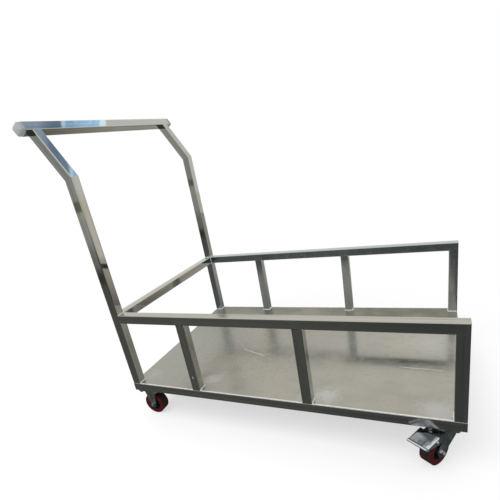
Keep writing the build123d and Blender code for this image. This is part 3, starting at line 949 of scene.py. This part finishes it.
class TROLLEY_OT_wheels(bpy.types.Operator):
    """Mould the red treads and the black cores, and set one of each in every wheel's place."""

    bl_idname = "trolley.wheels"
    bl_label = "Wheels"

    def tread(self):
        """A ring about Z with square shoulders, a mould groove and a sunk band on each side."""
        tread = begin(
            "tread", bpy.ops.mesh.primitive_cylinder_add,
            vertices=96, radius=WHEEL_RADIUS - 0.1 * MM, depth=TREAD_WIDTH,
        )
        choose(tread, "FACE", lambda face: abs(face.normal.z) > 0.9)
        bpy.ops.mesh.inset(thickness=WHEEL_RADIUS - CORE_RADIUS)
        bpy.ops.mesh.bridge_edge_loops()
        choose(tread, "FACE", lambda face: abs(face.normal.z) > 0.99)
        bpy.ops.mesh.inset(thickness=1.2 * MM, depth=0.0)
        bpy.ops.mesh.inset(thickness=0.7 * MM, depth=-0.7 * MM)
        for level in (-0.5 * MM, 0.5 * MM, 0):
            choose_all(tread)
            bpy.ops.mesh.bisect(plane_co=(0, 0, level), plane_no=(0, 0, 1))
        outside = WHEEL_RADIUS * 0.9
        choose(tread, "VERT", lambda point: abs(point.co.z) < 0.1 * MM and point.co.xy.length > outside)
        bpy.ops.transform.resize(value=(0.995, 0.995, 1), center_override=(0, 0, 0))
        bpy.ops.object.mode_set(mode="OBJECT")
        tread.data.materials.append(finish_of("tread"))
        tread.data.materials.append(finish_of("running"))
        for face in tread.data.polygons:
            if abs(face.normal.z) < 0.6 and face.center.xy.length > WHEEL_RADIUS - 2 * MM:
                face.material_index = 1
        smooth(tread)
        return tread

    def core(self):
        """A hub, a sunk web with ribs and a rim, the same on both sides."""
        sunk = TREAD_WIDTH / 2 - WEB_HALF
        rim_inside = CORE_RADIUS - RIM_WALL
        core = begin(
            "core", bpy.ops.mesh.primitive_cylinder_add, vertices=72, radius=CORE_RADIUS, depth=TREAD_WIDTH
        )
        choose(core, "FACE", lambda face: abs(face.normal.z) > 0.9)
        for thickness, depth in (
            (CORE_RADIUS - rim_inside, 0.0),
            (0.9 * MM, -sunk),
            (rim_inside - 0.9 * MM - HUB_RADIUS, 0.0),
            (0.6 * MM, sunk + (HUB_LENGTH - TREAD_WIDTH) / 2),
            (HUB_RADIUS - 0.6 * MM - HUB_BORE, 0.0),
        ):
            bpy.ops.mesh.inset(thickness=thickness, depth=depth)
        bpy.ops.mesh.bridge_edge_loops()
        ease(core, 0.5 * MM, 2, 40)
        rib = begin("rib", bpy.ops.mesh.primitive_cube_add, size=1.0)
        shape_whole(rib, (rim_inside - HUB_RADIUS + 0.6 * MM, 2.2 * MM, sunk * 0.7))
        bevel(0.5 * MM, 2)
        parts = [core]
        for side in (-1, 1):
            place = Matrix.Translation(((rim_inside + HUB_RADIUS) / 2, 0, side * (WEB_HALF + sunk * 0.35)))
            parts += [copy_of(rib, "rib_copy", turned(60 * number, "Z") @ place) for number in range(6)]
        discard(rib)
        core = joined("core", parts)
        core.data.materials.append(finish_of("core"))
        smooth(core)
        return core

    def execute(self, context):
        sources = (("tread", self.tread(), "tread_red"), ("core", self.core(), "core_black"))
        for wheel in (f"{end}_{side_name}" for end in ENDS for side_name in SIDES):
            joint = joints[f"wheel_{wheel}_spin"]
            for kind, source, slot in sources:
                piece = copy_of(source, f"{kind}_{wheel}", along_axle(joint["pos_m"], joint["axis"]))
                settle(piece, None, slot, f"wheel_{wheel}", f"wheel_{kind}_{wheel}")
        discard(*(source for kind, source, slot in sources))
        return {"FINISHED"}


class TROLLEY_OT_fasteners(bpy.types.Operator):
    """Turn the axle bolts and nuts, and the sixteen screws that hold the casters."""

    bl_idname = "trolley.fasteners"
    bl_label = "Fasteners"

    def bolt(self):
        """An axle bolt about Z: head outside one leg, chamfered tip beyond the other leg's nut."""
        head = hex_block("head", HEAD_HEIGHT)
        put(head, Matrix.Translation((0, 0, -FORK_HALF)) @ turned(180, "X"))
        length = 2 * FORK_HALF + 8 * MM
        rod = begin("rod", bpy.ops.mesh.primitive_cylinder_add, vertices=24, radius=4 * MM, depth=length)
        choose(rod, "FACE", lambda face: face.normal.z > 0.9)
        bevel(0.6 * MM, 1)
        put(rod, Matrix.Translation((0, 0, length / 2 - FORK_HALF)))
        return joined("bolt", [head, rod])

    def nut(self):
        """An axle nut about Z, chamfered outside."""
        nut = hex_block("nut", NUT_HEIGHT)
        put(nut, Matrix.Translation((0, 0, FORK_HALF)))
        return nut

    def screws(self):
        """Sixteen hexagon screws, heads down under the casters' plates, with their washers."""
        washer_top, washer_low = high("caster_washers", Z), low("caster_washers", Z)
        thickness = washer_top - washer_low
        head = hex_block("screw_head", HEAD_HEIGHT)
        put(head, turned(180, "X"))
        washer = begin(
            "washer", bpy.ops.mesh.primitive_cylinder_add, vertices=28, radius=7.5 * MM, depth=thickness
        )
        ease(washer, 0.25 * MM, 1, 40)
        heads, washers = [], []
        for node in (f"corner_plate_{end}_{side_name}" for end in ENDS for side_name in SIDES):
            for number, (along, across) in enumerate(((-1, -1), (1, -1), (1, 1), (-1, 1))):
                place = Vector((
                    middle(node, X) + along * SCREW_ALONG,
                    middle(node, Y) + across * SCREW_ACROSS,
                    washer_low,
                ))
                turn = Matrix.Rotation(0.7 * number + middle(node, X), 4, "Z")
                heads.append(copy_of(head, "screw_head_copy", Matrix.Translation(place) @ turn))
                place.z = (washer_low + washer_top) / 2
                washers.append(copy_of(washer, "washer_copy", Matrix.Translation(place)))
        discard(head, washer)
        for kind, copies in (("screws", heads), ("washers", washers)):
            piece = joined(f"plate_{kind}", copies)
            smooth(piece)
            settle(piece, "bright", "bright_zinc", "frame", f"caster_{kind}")

    def execute(self, context):
        sources = {"bolt": self.bolt(), "nut": self.nut()}
        for side_name in SIDES:
            joint = joints[f"wheel_open_{side_name}_spin"]
            for kind, source in sources.items():
                piece = copy_of(source, f"{kind}_open_{side_name}", along_axle(joint["pos_m"], joint["axis"]))
                smooth(piece)
                settle(piece, "bright", "bright_zinc", f"swivel_{side_name}", f"axle_{kind}_open_{side_name}")
        for kind, source in sources.items():
            copies = []
            for side_name, side in SIDES.items():
                place = along_axle(joint_place(f"wheel_handle_{side_name}_spin"), (0, side, 0))
                copies.append(copy_of(source, f"{kind}_copy", place))
            piece = joined(f"{kind}s_handle_end", copies)
            smooth(piece)
            settle(piece, "fork", "bright_zinc", "frame", f"axle_{kind}s_handle_end")
        discard(*sources.values())
        self.screws()
        return {"FINISHED"}


class TROLLEY_OT_pedals(bpy.types.Operator):
    """Press the bright brake pedals and wind the springs that lift them."""

    bl_idname = "trolley.pedals"
    bl_label = "Brake pedals"

    def cheek_foot(self, along):
        """How low a cheek reaches at a place along the pedal: round the pin, then rising to the lip."""
        if along < -PIN_ROUND:
            return 5.0 * MM
        if along < 2 * MM:
            return -math.sqrt(PIN_ROUND ** 2 - along ** 2)
        rise = -6.2 * MM + (along - 2 * MM) * math.tan(math.radians(17.6))
        return min(rise, PEDAL_LEVEL - 1.4 * MM)

    def on_side(self, edge):
        """Along one of the plate's two sides."""
        near = 0.1 * MM
        return all(
            abs(point.co.y) > PEDAL_HALF - near
            and abs(point.co.z - PEDAL_LEVEL) < near
            and point.co.x < PEDAL_REACH + near
            for point in edge.verts
        )

    def plate(self):
        """A dished plate, a rolled lip and two cheeks, X down the slope, Y across and Z out of the plate."""
        columns = 24
        length, centre = PEDAL_BACK + PEDAL_REACH, (PEDAL_REACH - PEDAL_BACK) / 2
        plate = begin(
            "pedal", bpy.ops.mesh.primitive_grid_add, x_subdivisions=columns, y_subdivisions=14, size=1.0
        )
        shape_whole(plate, (length, 2 * PEDAL_HALF, 1), (centre, 0, PEDAL_LEVEL))
        for share in (0.88, 0.76, 0.63, 0.48, 0.3):
            half_length, half_width = length / 2 * share, PEDAL_HALF * share

            def inside(point):
                """Within an oval on the plate."""
                along, across = (point.co.x - centre) / half_length, point.co.y / half_width
                return along ** 2 + across ** 2 < 1.0

            choose(plate, "VERT", inside)
            sink(-0.42 * MM)
        choose(plate, "EDGE", lambda edge: all(point.co.x > PEDAL_REACH - 0.1 * MM for point in edge.verts))
        roll_centre = (PEDAL_REACH, 0, PEDAL_LEVEL + PEDAL_ROLL)
        bpy.ops.mesh.spin(steps=9, angle=math.radians(250), center=roll_centre, axis=(0, 1, 0))
        choose(plate, "EDGE", self.on_side)
        bpy.ops.mesh.extrude_edges_move(TRANSFORM_OT_translate={"value": (0, 0, -PEDAL_CHEEK)})
        foot = PEDAL_LEVEL - PEDAL_CHEEK
        for number in range(columns + 1):
            along = -PEDAL_BACK + length * number / columns
            choose(
                plate, "VERT",
                lambda point: abs(point.co.x - along) < 0.2 * MM and abs(point.co.z - foot) < 0.01 * MM,
            )
            sink(self.cheek_foot(along) - foot)
        choose(plate, "EDGE", self.on_side)
        bevel(1.6 * MM, 3)
        choose_all(plate)
        bpy.ops.mesh.remove_doubles(threshold=0.02 * MM)
        bpy.ops.mesh.normals_make_consistent(inside=False)
        modify(plate, "SOLIDIFY", thickness=2.3 * MM, offset=0.0, use_even_offset=True)
        ease(plate, 0.4 * MM, 2, 50)
        smooth(plate, 40)
        return plate

    def springs(self):
        """Two coils round the pin, each with an arm that lifts the pedal."""
        made = []
        for side in (-1, 1):
            spring = begin("spring", bpy.ops.mesh.primitive_circle_add, vertices=8, radius=SPRING_WIRE)
            choose_all(spring)
            bpy.ops.transform.rotate(value=math.radians(90), orient_axis="X", center_override=(0, 0, 0))
            bpy.ops.transform.translate(value=(SPRING_COIL, 0, 0))
            steps, rise = 28 * SPRING_TURNS, SPRING_TURNS * SPRING_PITCH
            modify(
                spring, "SCREW",
                axis="Z", angle=math.tau * SPRING_TURNS, steps=steps, render_steps=steps, screw_offset=rise,
            )
            choose_all(spring)
            bpy.ops.mesh.fill_holes(sides=8)
            bpy.ops.mesh.normals_make_consistent(inside=False)
            put(spring, Matrix.Translation((0, SPRING_SIDE * side - rise / 2, 0)) @ turned(-90, "X"))
            arm = begin(
                "spring_arm", bpy.ops.mesh.primitive_cylinder_add,
                vertices=8, radius=SPRING_WIRE, depth=16 * MM,
            )
            choose(arm, "FACE", lambda face: abs(face.normal.z) > 0.9)
            bevel(0.15 * MM, 1)
            put(arm, Matrix.Translation((8 * MM, SPRING_SIDE * side, SPRING_COIL)) @ turned(90, "Y"))
            made += [spring, arm]
        springs = joined("springs", made)
        smooth(springs, 50)
        return springs

    def tongue(self):
        """A strip under the crown and the pedal's back, X along the trail from the kingpin."""
        tongue = begin(
            "tongue", bpy.ops.mesh.primitive_grid_add, x_subdivisions=8, y_subdivisions=2, size=1.0
        )
        shape_whole(tongue, (36 * MM, 39 * MM, 1), (36 * MM, 0, 92.3 * MM))
        for start, drop in ((29 * MM, 0.8 * MM), (38 * MM, 0.9 * MM), (47 * MM, 0.4 * MM)):
            choose(tongue, "VERT", lambda point: point.co.x > start)
            sink(-drop)
        modify(tongue, "SOLIDIFY", thickness=1.0 * MM, offset=0.0)
        ease(tongue, 0.3 * MM, 2, 50)
        smooth(tongue)
        return tongue

    def marks(self, name, body, centre, trail, places):
        """The small raised marks pressed through both legs of one fork, longer upright than across."""
        made = []
        across = UP.cross(trail)
        for leg in (-1, 1):
            for along, height, length in places:
                place = centre + trail * along + across * leg * FORK_HALF
                place.z = height
                outward = across * leg
                mark = begin(
                    "mark", bpy.ops.mesh.primitive_uv_sphere_add, segments=14, ring_count=7, radius=1.7 * MM
                )
                shape_whole(mark, (1, 0.35, length))
                put(mark, axes(place, outward.cross(UP), outward, UP) @ turned(25, "Y"))
                made.append(mark)
        piece = joined(name, made)
        smooth(piece, 60)
        settle(piece, "fork", "fork_zinc", body)

    def execute(self, context):
        plate, springs, tongue = self.plate(), self.springs(), self.tongue()
        for side_name in SIDES:
            kingpin = joint_place(f"swivel_{side_name}_turn")
            axle = joint_place(f"wheel_handle_{side_name}_spin")
            trail = trail_of(side_name)
            across = UP.cross(trail)
            swivel = f"swivel_{side_name}"
            strip = copy_of(tongue, f"stop_tongue_{side_name}", axes(kingpin * FLAT, trail, across, UP))
            settle(strip, "fork", "fork_zinc", swivel)
            self.marks(f"fork_marks_open_{side_name}", swivel, kingpin, trail, SWIVEL_MARKS)
            self.marks(f"fork_marks_handle_{side_name}", "frame", axle, Vector((1, 0, 0)), RIGID_MARKS)
            pivot = joint_place(f"brake_{side_name}_press")
            place = axes(pivot, trail, across, UP) @ Matrix.Rotation(PEDAL_SLOPE, 4, "Y")
            for source, name, replaced in (
                (plate, f"pedal_{side_name}", (f"brake_pedal_{side_name}",)),
                (springs, f"pedal_springs_{side_name}", ()),
            ):
                piece = copy_of(source, name, place)
                settle(piece, "chrome", "bright_zinc", f"brake_{side_name}", *replaced)
        discard(plate, springs, tongue)
        return {"FINISHED"}


class TROLLEY_OT_studio(bpy.types.Operator):
    """Set up the pale floor, the even light, the mirrored cards and the camera."""

    bl_idname = "trolley.studio"
    bl_label = "Studio"

    def floor(self):
        """A pale floor that keeps the trolley's shadow and fades to white further off."""
        circle = bpy.ops.mesh.primitive_circle_add
        floor = begin("studio_floor", circle, vertices=96, radius=FLOOR_RADIUS, fill_type="NGON")
        tree = Tree(bpy.data.materials.new("studio_floor_pale"))
        tree.nodes.clear()
        far = tree.vector("LENGTH", tree.coordinates())
        white = tree.times(tree.grade(far, 0.45, 1.1, 0.6, 1.0), tree.seen_directly())
        lit = tree.add("BsdfDiffuse", {"Color": opaque((0.95, 0.95, 0.95))})
        glow = tree.add("Emission", {"Color": opaque((1, 1, 1)), "Strength": 1.0})
        mixed = tree.add("MixShader", {0: white, 1: lit.outputs[0], 2: glow.outputs[0]})
        tree.add("OutputMaterial", {"Surface": mixed.outputs[0]})
        floor.data.materials.append(tree.owner)

    def world(self, context, light):
        """White where it is seen or mirrored, and a plain even light elsewhere."""
        world = bpy.data.worlds.new("studio_world")
        context.scene.world = world
        tree = Tree(world)
        background = tree.nodes["Background"].inputs
        background["Color"].default_value = opaque((1, 1, 1))
        tree.links.new(tree.grade(tree.seen_directly(), 0.0, 1.0, light, 1.0), background["Strength"])

    def lamp(self, power):
        """One broad soft lamp above and in front."""
        bpy.ops.object.light_add(type="AREA", location=(-0.6, -1.4, 2.6))
        lamp = named("studio_lamp")
        lamp.data.energy = power
        lamp.data.shape = "DISK"
        lamp.data.size = 2.4
        lamp.rotation_euler = (Vector((0, 0, 0.2)) - lamp.location).to_track_quat("-Z", "Y").to_euler()
        lamp.visible_glossy = False

    def hang(self, card, build):
        """A card that glows in the colour that a function works out, and that only reflections see."""
        tree = Tree(bpy.data.materials.new(card.name))
        tree.nodes.clear()
        glow = tree.add("Emission", {"Color": build(tree), "Strength": 1.0})
        tree.add("OutputMaterial", {"Surface": glow.outputs[0]})
        tree.owner.cycles.emission_sampling = "NONE"
        card.data.materials.append(tree.owner)
        for ray in UNSEEN_RAYS:
            setattr(card, f"visible_{ray}", False)

    def upright_card(self, name, place, width, height):
        """A flat card that faces the front."""
        card = begin(name, bpy.ops.mesh.primitive_plane_add, size=1.0)
        shape_whole(card, (width, height, 1))
        put(card, Matrix.Translation(place) @ turned(90, "X"))
        return card

    def floor_card(self, studio):
        """What the front faces of the steel mirror: a dark floor near, a beige floor behind."""
        card = begin(
            "mirrored_floor", bpy.ops.mesh.primitive_circle_add,
            vertices=64, radius=CARD_RADIUS, fill_type="NGON", location=(0, 0, 0.002),
        )

        def colour(tree):
            """Bands round the trolley in front, and one pale band behind."""
            place = tree.split()
            gap = tree.vector("DISTANCE", tree.coordinates(), (0.3, -0.4, 0.0))
            near = tree.blend(tree.grade(place[X], -0.3, 0.6), studio.floor_dark, (0.082, 0.09, 0.09))
            front = tree.blend(tree.grade(gap, 2.4, 2.7), near, shaded(studio.floor_dark, 0.55))
            front = tree.blend(tree.grade(gap, 2.85, 3.4), front, (0.27, 0.27, 0.25))
            front = tree.blend(tree.grade(gap, 3.6, 5.5), front, studio.wall_grey)
            far = tree.vector("LENGTH", tree.coordinates())
            back = tree.blend(tree.grade(far, 2.3, 2.9), studio.floor_far, (0.83, 0.8, 0.73))
            return tree.blend(tree.grade(place[Y], 0.2, 1.3), front, back)

        self.hang(card, colour)

    def wall_card(self, studio):
        """What the front faces mirror level with them: a grey wall behind the camera."""
        card = begin(
            "mirrored_wall", bpy.ops.mesh.primitive_cylinder_add,
            vertices=64, radius=WALL_RADIUS, depth=2.6, end_fill_type="NOTHING", location=(0, 0, 1.25),
        )

        def behind(face):
            """Neither in front of the trolley nor beyond its open end."""
            centre = face.calc_center_median()
            return centre.y > -0.6 and centre.x < 5.5

        choose(card, "FACE", behind)
        bpy.ops.mesh.delete(type="FACE")
        put(card, card.matrix_world.copy())

        def colour(tree):
            """A cloudy wall with a dark skirting, and a pale opening beyond the open end."""
            place = tree.split()
            clouds = tree.noise((1.5, 1.5, 3.0))
            wall = tree.blend(clouds, shaded(studio.wall_grey, 0.85), studio.wall_grey)
            wall = tree.blend(tree.grade(place[Z], 0.2, 0.15), wall, (0.52, 0.52, 0.47))
            skirting = tree.times(tree.grade(place[Z], 0.15, 0.2), tree.grade(place[Z], 0.4, 0.34))
            wall = tree.blend(tree.times(skirting, 0.75), wall, (0.13, 0.13, 0.1))
            opening = tree.blend(tree.grade(place[Z], 0.2, 0.7), (0.81, 0.78, 0.69), (0.93, 0.94, 0.9))
            return tree.blend(tree.grade(place[X], 4.0, 6.0), wall, opening)

        self.hang(card, colour)

    def back_card(self):
        """What the rear strip of the deck mirrors: something low and grey behind the trolley."""
        card = self.upright_card("mirrored_back", (-0.35, 0.9, 0.35), 2.1, 0.28)
        grey, paler = (0.4, 0.4, 0.37), (0.52, 0.52, 0.49)
        self.hang(card, lambda tree: tree.blend(tree.noise((0.4, 0.4, 0.2)), grey, paler))

    def window_card(self):
        """What the handle mirrors: a tall window with sky in it."""
        card = self.upright_card("mirrored_window", (0.635, 2.5, 3.865), 1.03, 1.47)

        def colour(tree):
            """Panes above a slanting line, bright cloudy sky below it and a pale foot."""
            place = tree.split()
            slant = tree.scaled(place[X], 0.27, -0.113)
            height = tree.maths("ADD", place[Z], slant)
            clouds = tree.noise((0.06, 0.06, 0.05), detail=4.0)
            drift = tree.noise((0.4, 0.4, 0.25))
            panes = tree.blend(tree.grade(height, 3.95, 4.2), (0.27, 0.39, 0.58), (0.46, 0.6, 0.82))
            panes = tree.blend(tree.grade(drift, 0.45, 0.65, 0.0, 0.6), panes, (0.2, 0.29, 0.44))
            rising = tree.grade(place[Z], 3.65, 3.4, -0.1, 0.65)
            bright = tree.scaled(tree.grade(clouds, 0.46, 0.6), 0.45, rising)
            sky = tree.blend(bright, (0.4, 0.68, 1.12), (0.74, 1.24, 1.8))
            sky = tree.blend(tree.grade(place[Z], 3.23, 3.2), sky, (1.4, 1.75, 2.0))
            sky = tree.blend(tree.grade(height, 3.69, 3.72), sky, (0.9, 1.2, 1.5))
            return tree.blend(tree.grade(height, 3.75, 3.78), sky, panes)

        self.hang(card, colour)

    def camera(self, context, studio):
        """The photograph's camera."""
        camera = bpy.data.objects.new("camera", bpy.data.cameras.new("camera"))
        context.scene.collection.objects.link(camera)
        camera.location = studio.camera_place
        camera.rotation_euler = studio.camera_turn
        camera.data.sensor_width = 36.0
        camera.data.lens = studio.camera_lens
        camera.data.shift_y = studio.camera_rise
        camera.data.clip_start = 0.01
        context.scene.camera = camera

    def execute(self, context):
        studio = context.scene.trolley_studio
        self.floor()
        self.world(context, studio.world_light)
        self.lamp(studio.lamp_power)
        self.floor_card(studio)
        self.wall_card(studio)
        self.back_card()
        self.window_card()
        self.camera(context, studio)
        context.scene.view_settings.view_transform = "Standard"
        return {"FINISHED"}


OPERATORS = (
    TROLLEY_OT_frame_finish,
    TROLLEY_OT_caster_finish,
    TROLLEY_OT_caps,
    TROLLEY_OT_welds,
    TROLLEY_OT_wheels,
    TROLLEY_OT_fasteners,
    TROLLEY_OT_pedals,
    TROLLEY_OT_studio,
)


class TROLLEY_PT_panel(bpy.types.Panel):
    """The trolley's pieces, in the order in which they are made."""

    bl_idname = "TROLLEY_PT_panel"
    bl_label = "Metal trolley"
    bl_space_type = "VIEW_3D"
    bl_region_type = "UI"
    bl_category = "Trolley"

    def draw(self, context):
        layout = self.layout
        for group in (context.scene.trolley_finish, context.scene.trolley_studio):
            box = layout.box()
            for name in group.__annotations__:
                box.prop(group, name)
        for operator in OPERATORS:
            layout.operator(operator.bl_idname)


CLASSES = (TrolleyFinish, TrolleyStudio, *OPERATORS, TROLLEY_PT_panel)


def register():
    """Register the classes and the settings."""
    for kind in CLASSES:
        bpy.utils.register_class(kind)
    bpy.types.Scene.trolley_finish = PointerProperty(type=TrolleyFinish)
    bpy.types.Scene.trolley_studio = PointerProperty(type=TrolleyStudio)


def unregister():
    """Take the settings and the classes away again."""
    del bpy.types.Scene.trolley_studio
    del bpy.types.Scene.trolley_finish
    for kind in reversed(CLASSES):
        bpy.utils.unregister_class(kind)


def main():
    """Make everything in order."""
    register()
    for operator in OPERATORS:
        group, action = operator.bl_idname.split(".")
        getattr(getattr(bpy.ops, group), action)()
    bpy.context.view_layer.update()


if __name__ == "__main__":
    main()
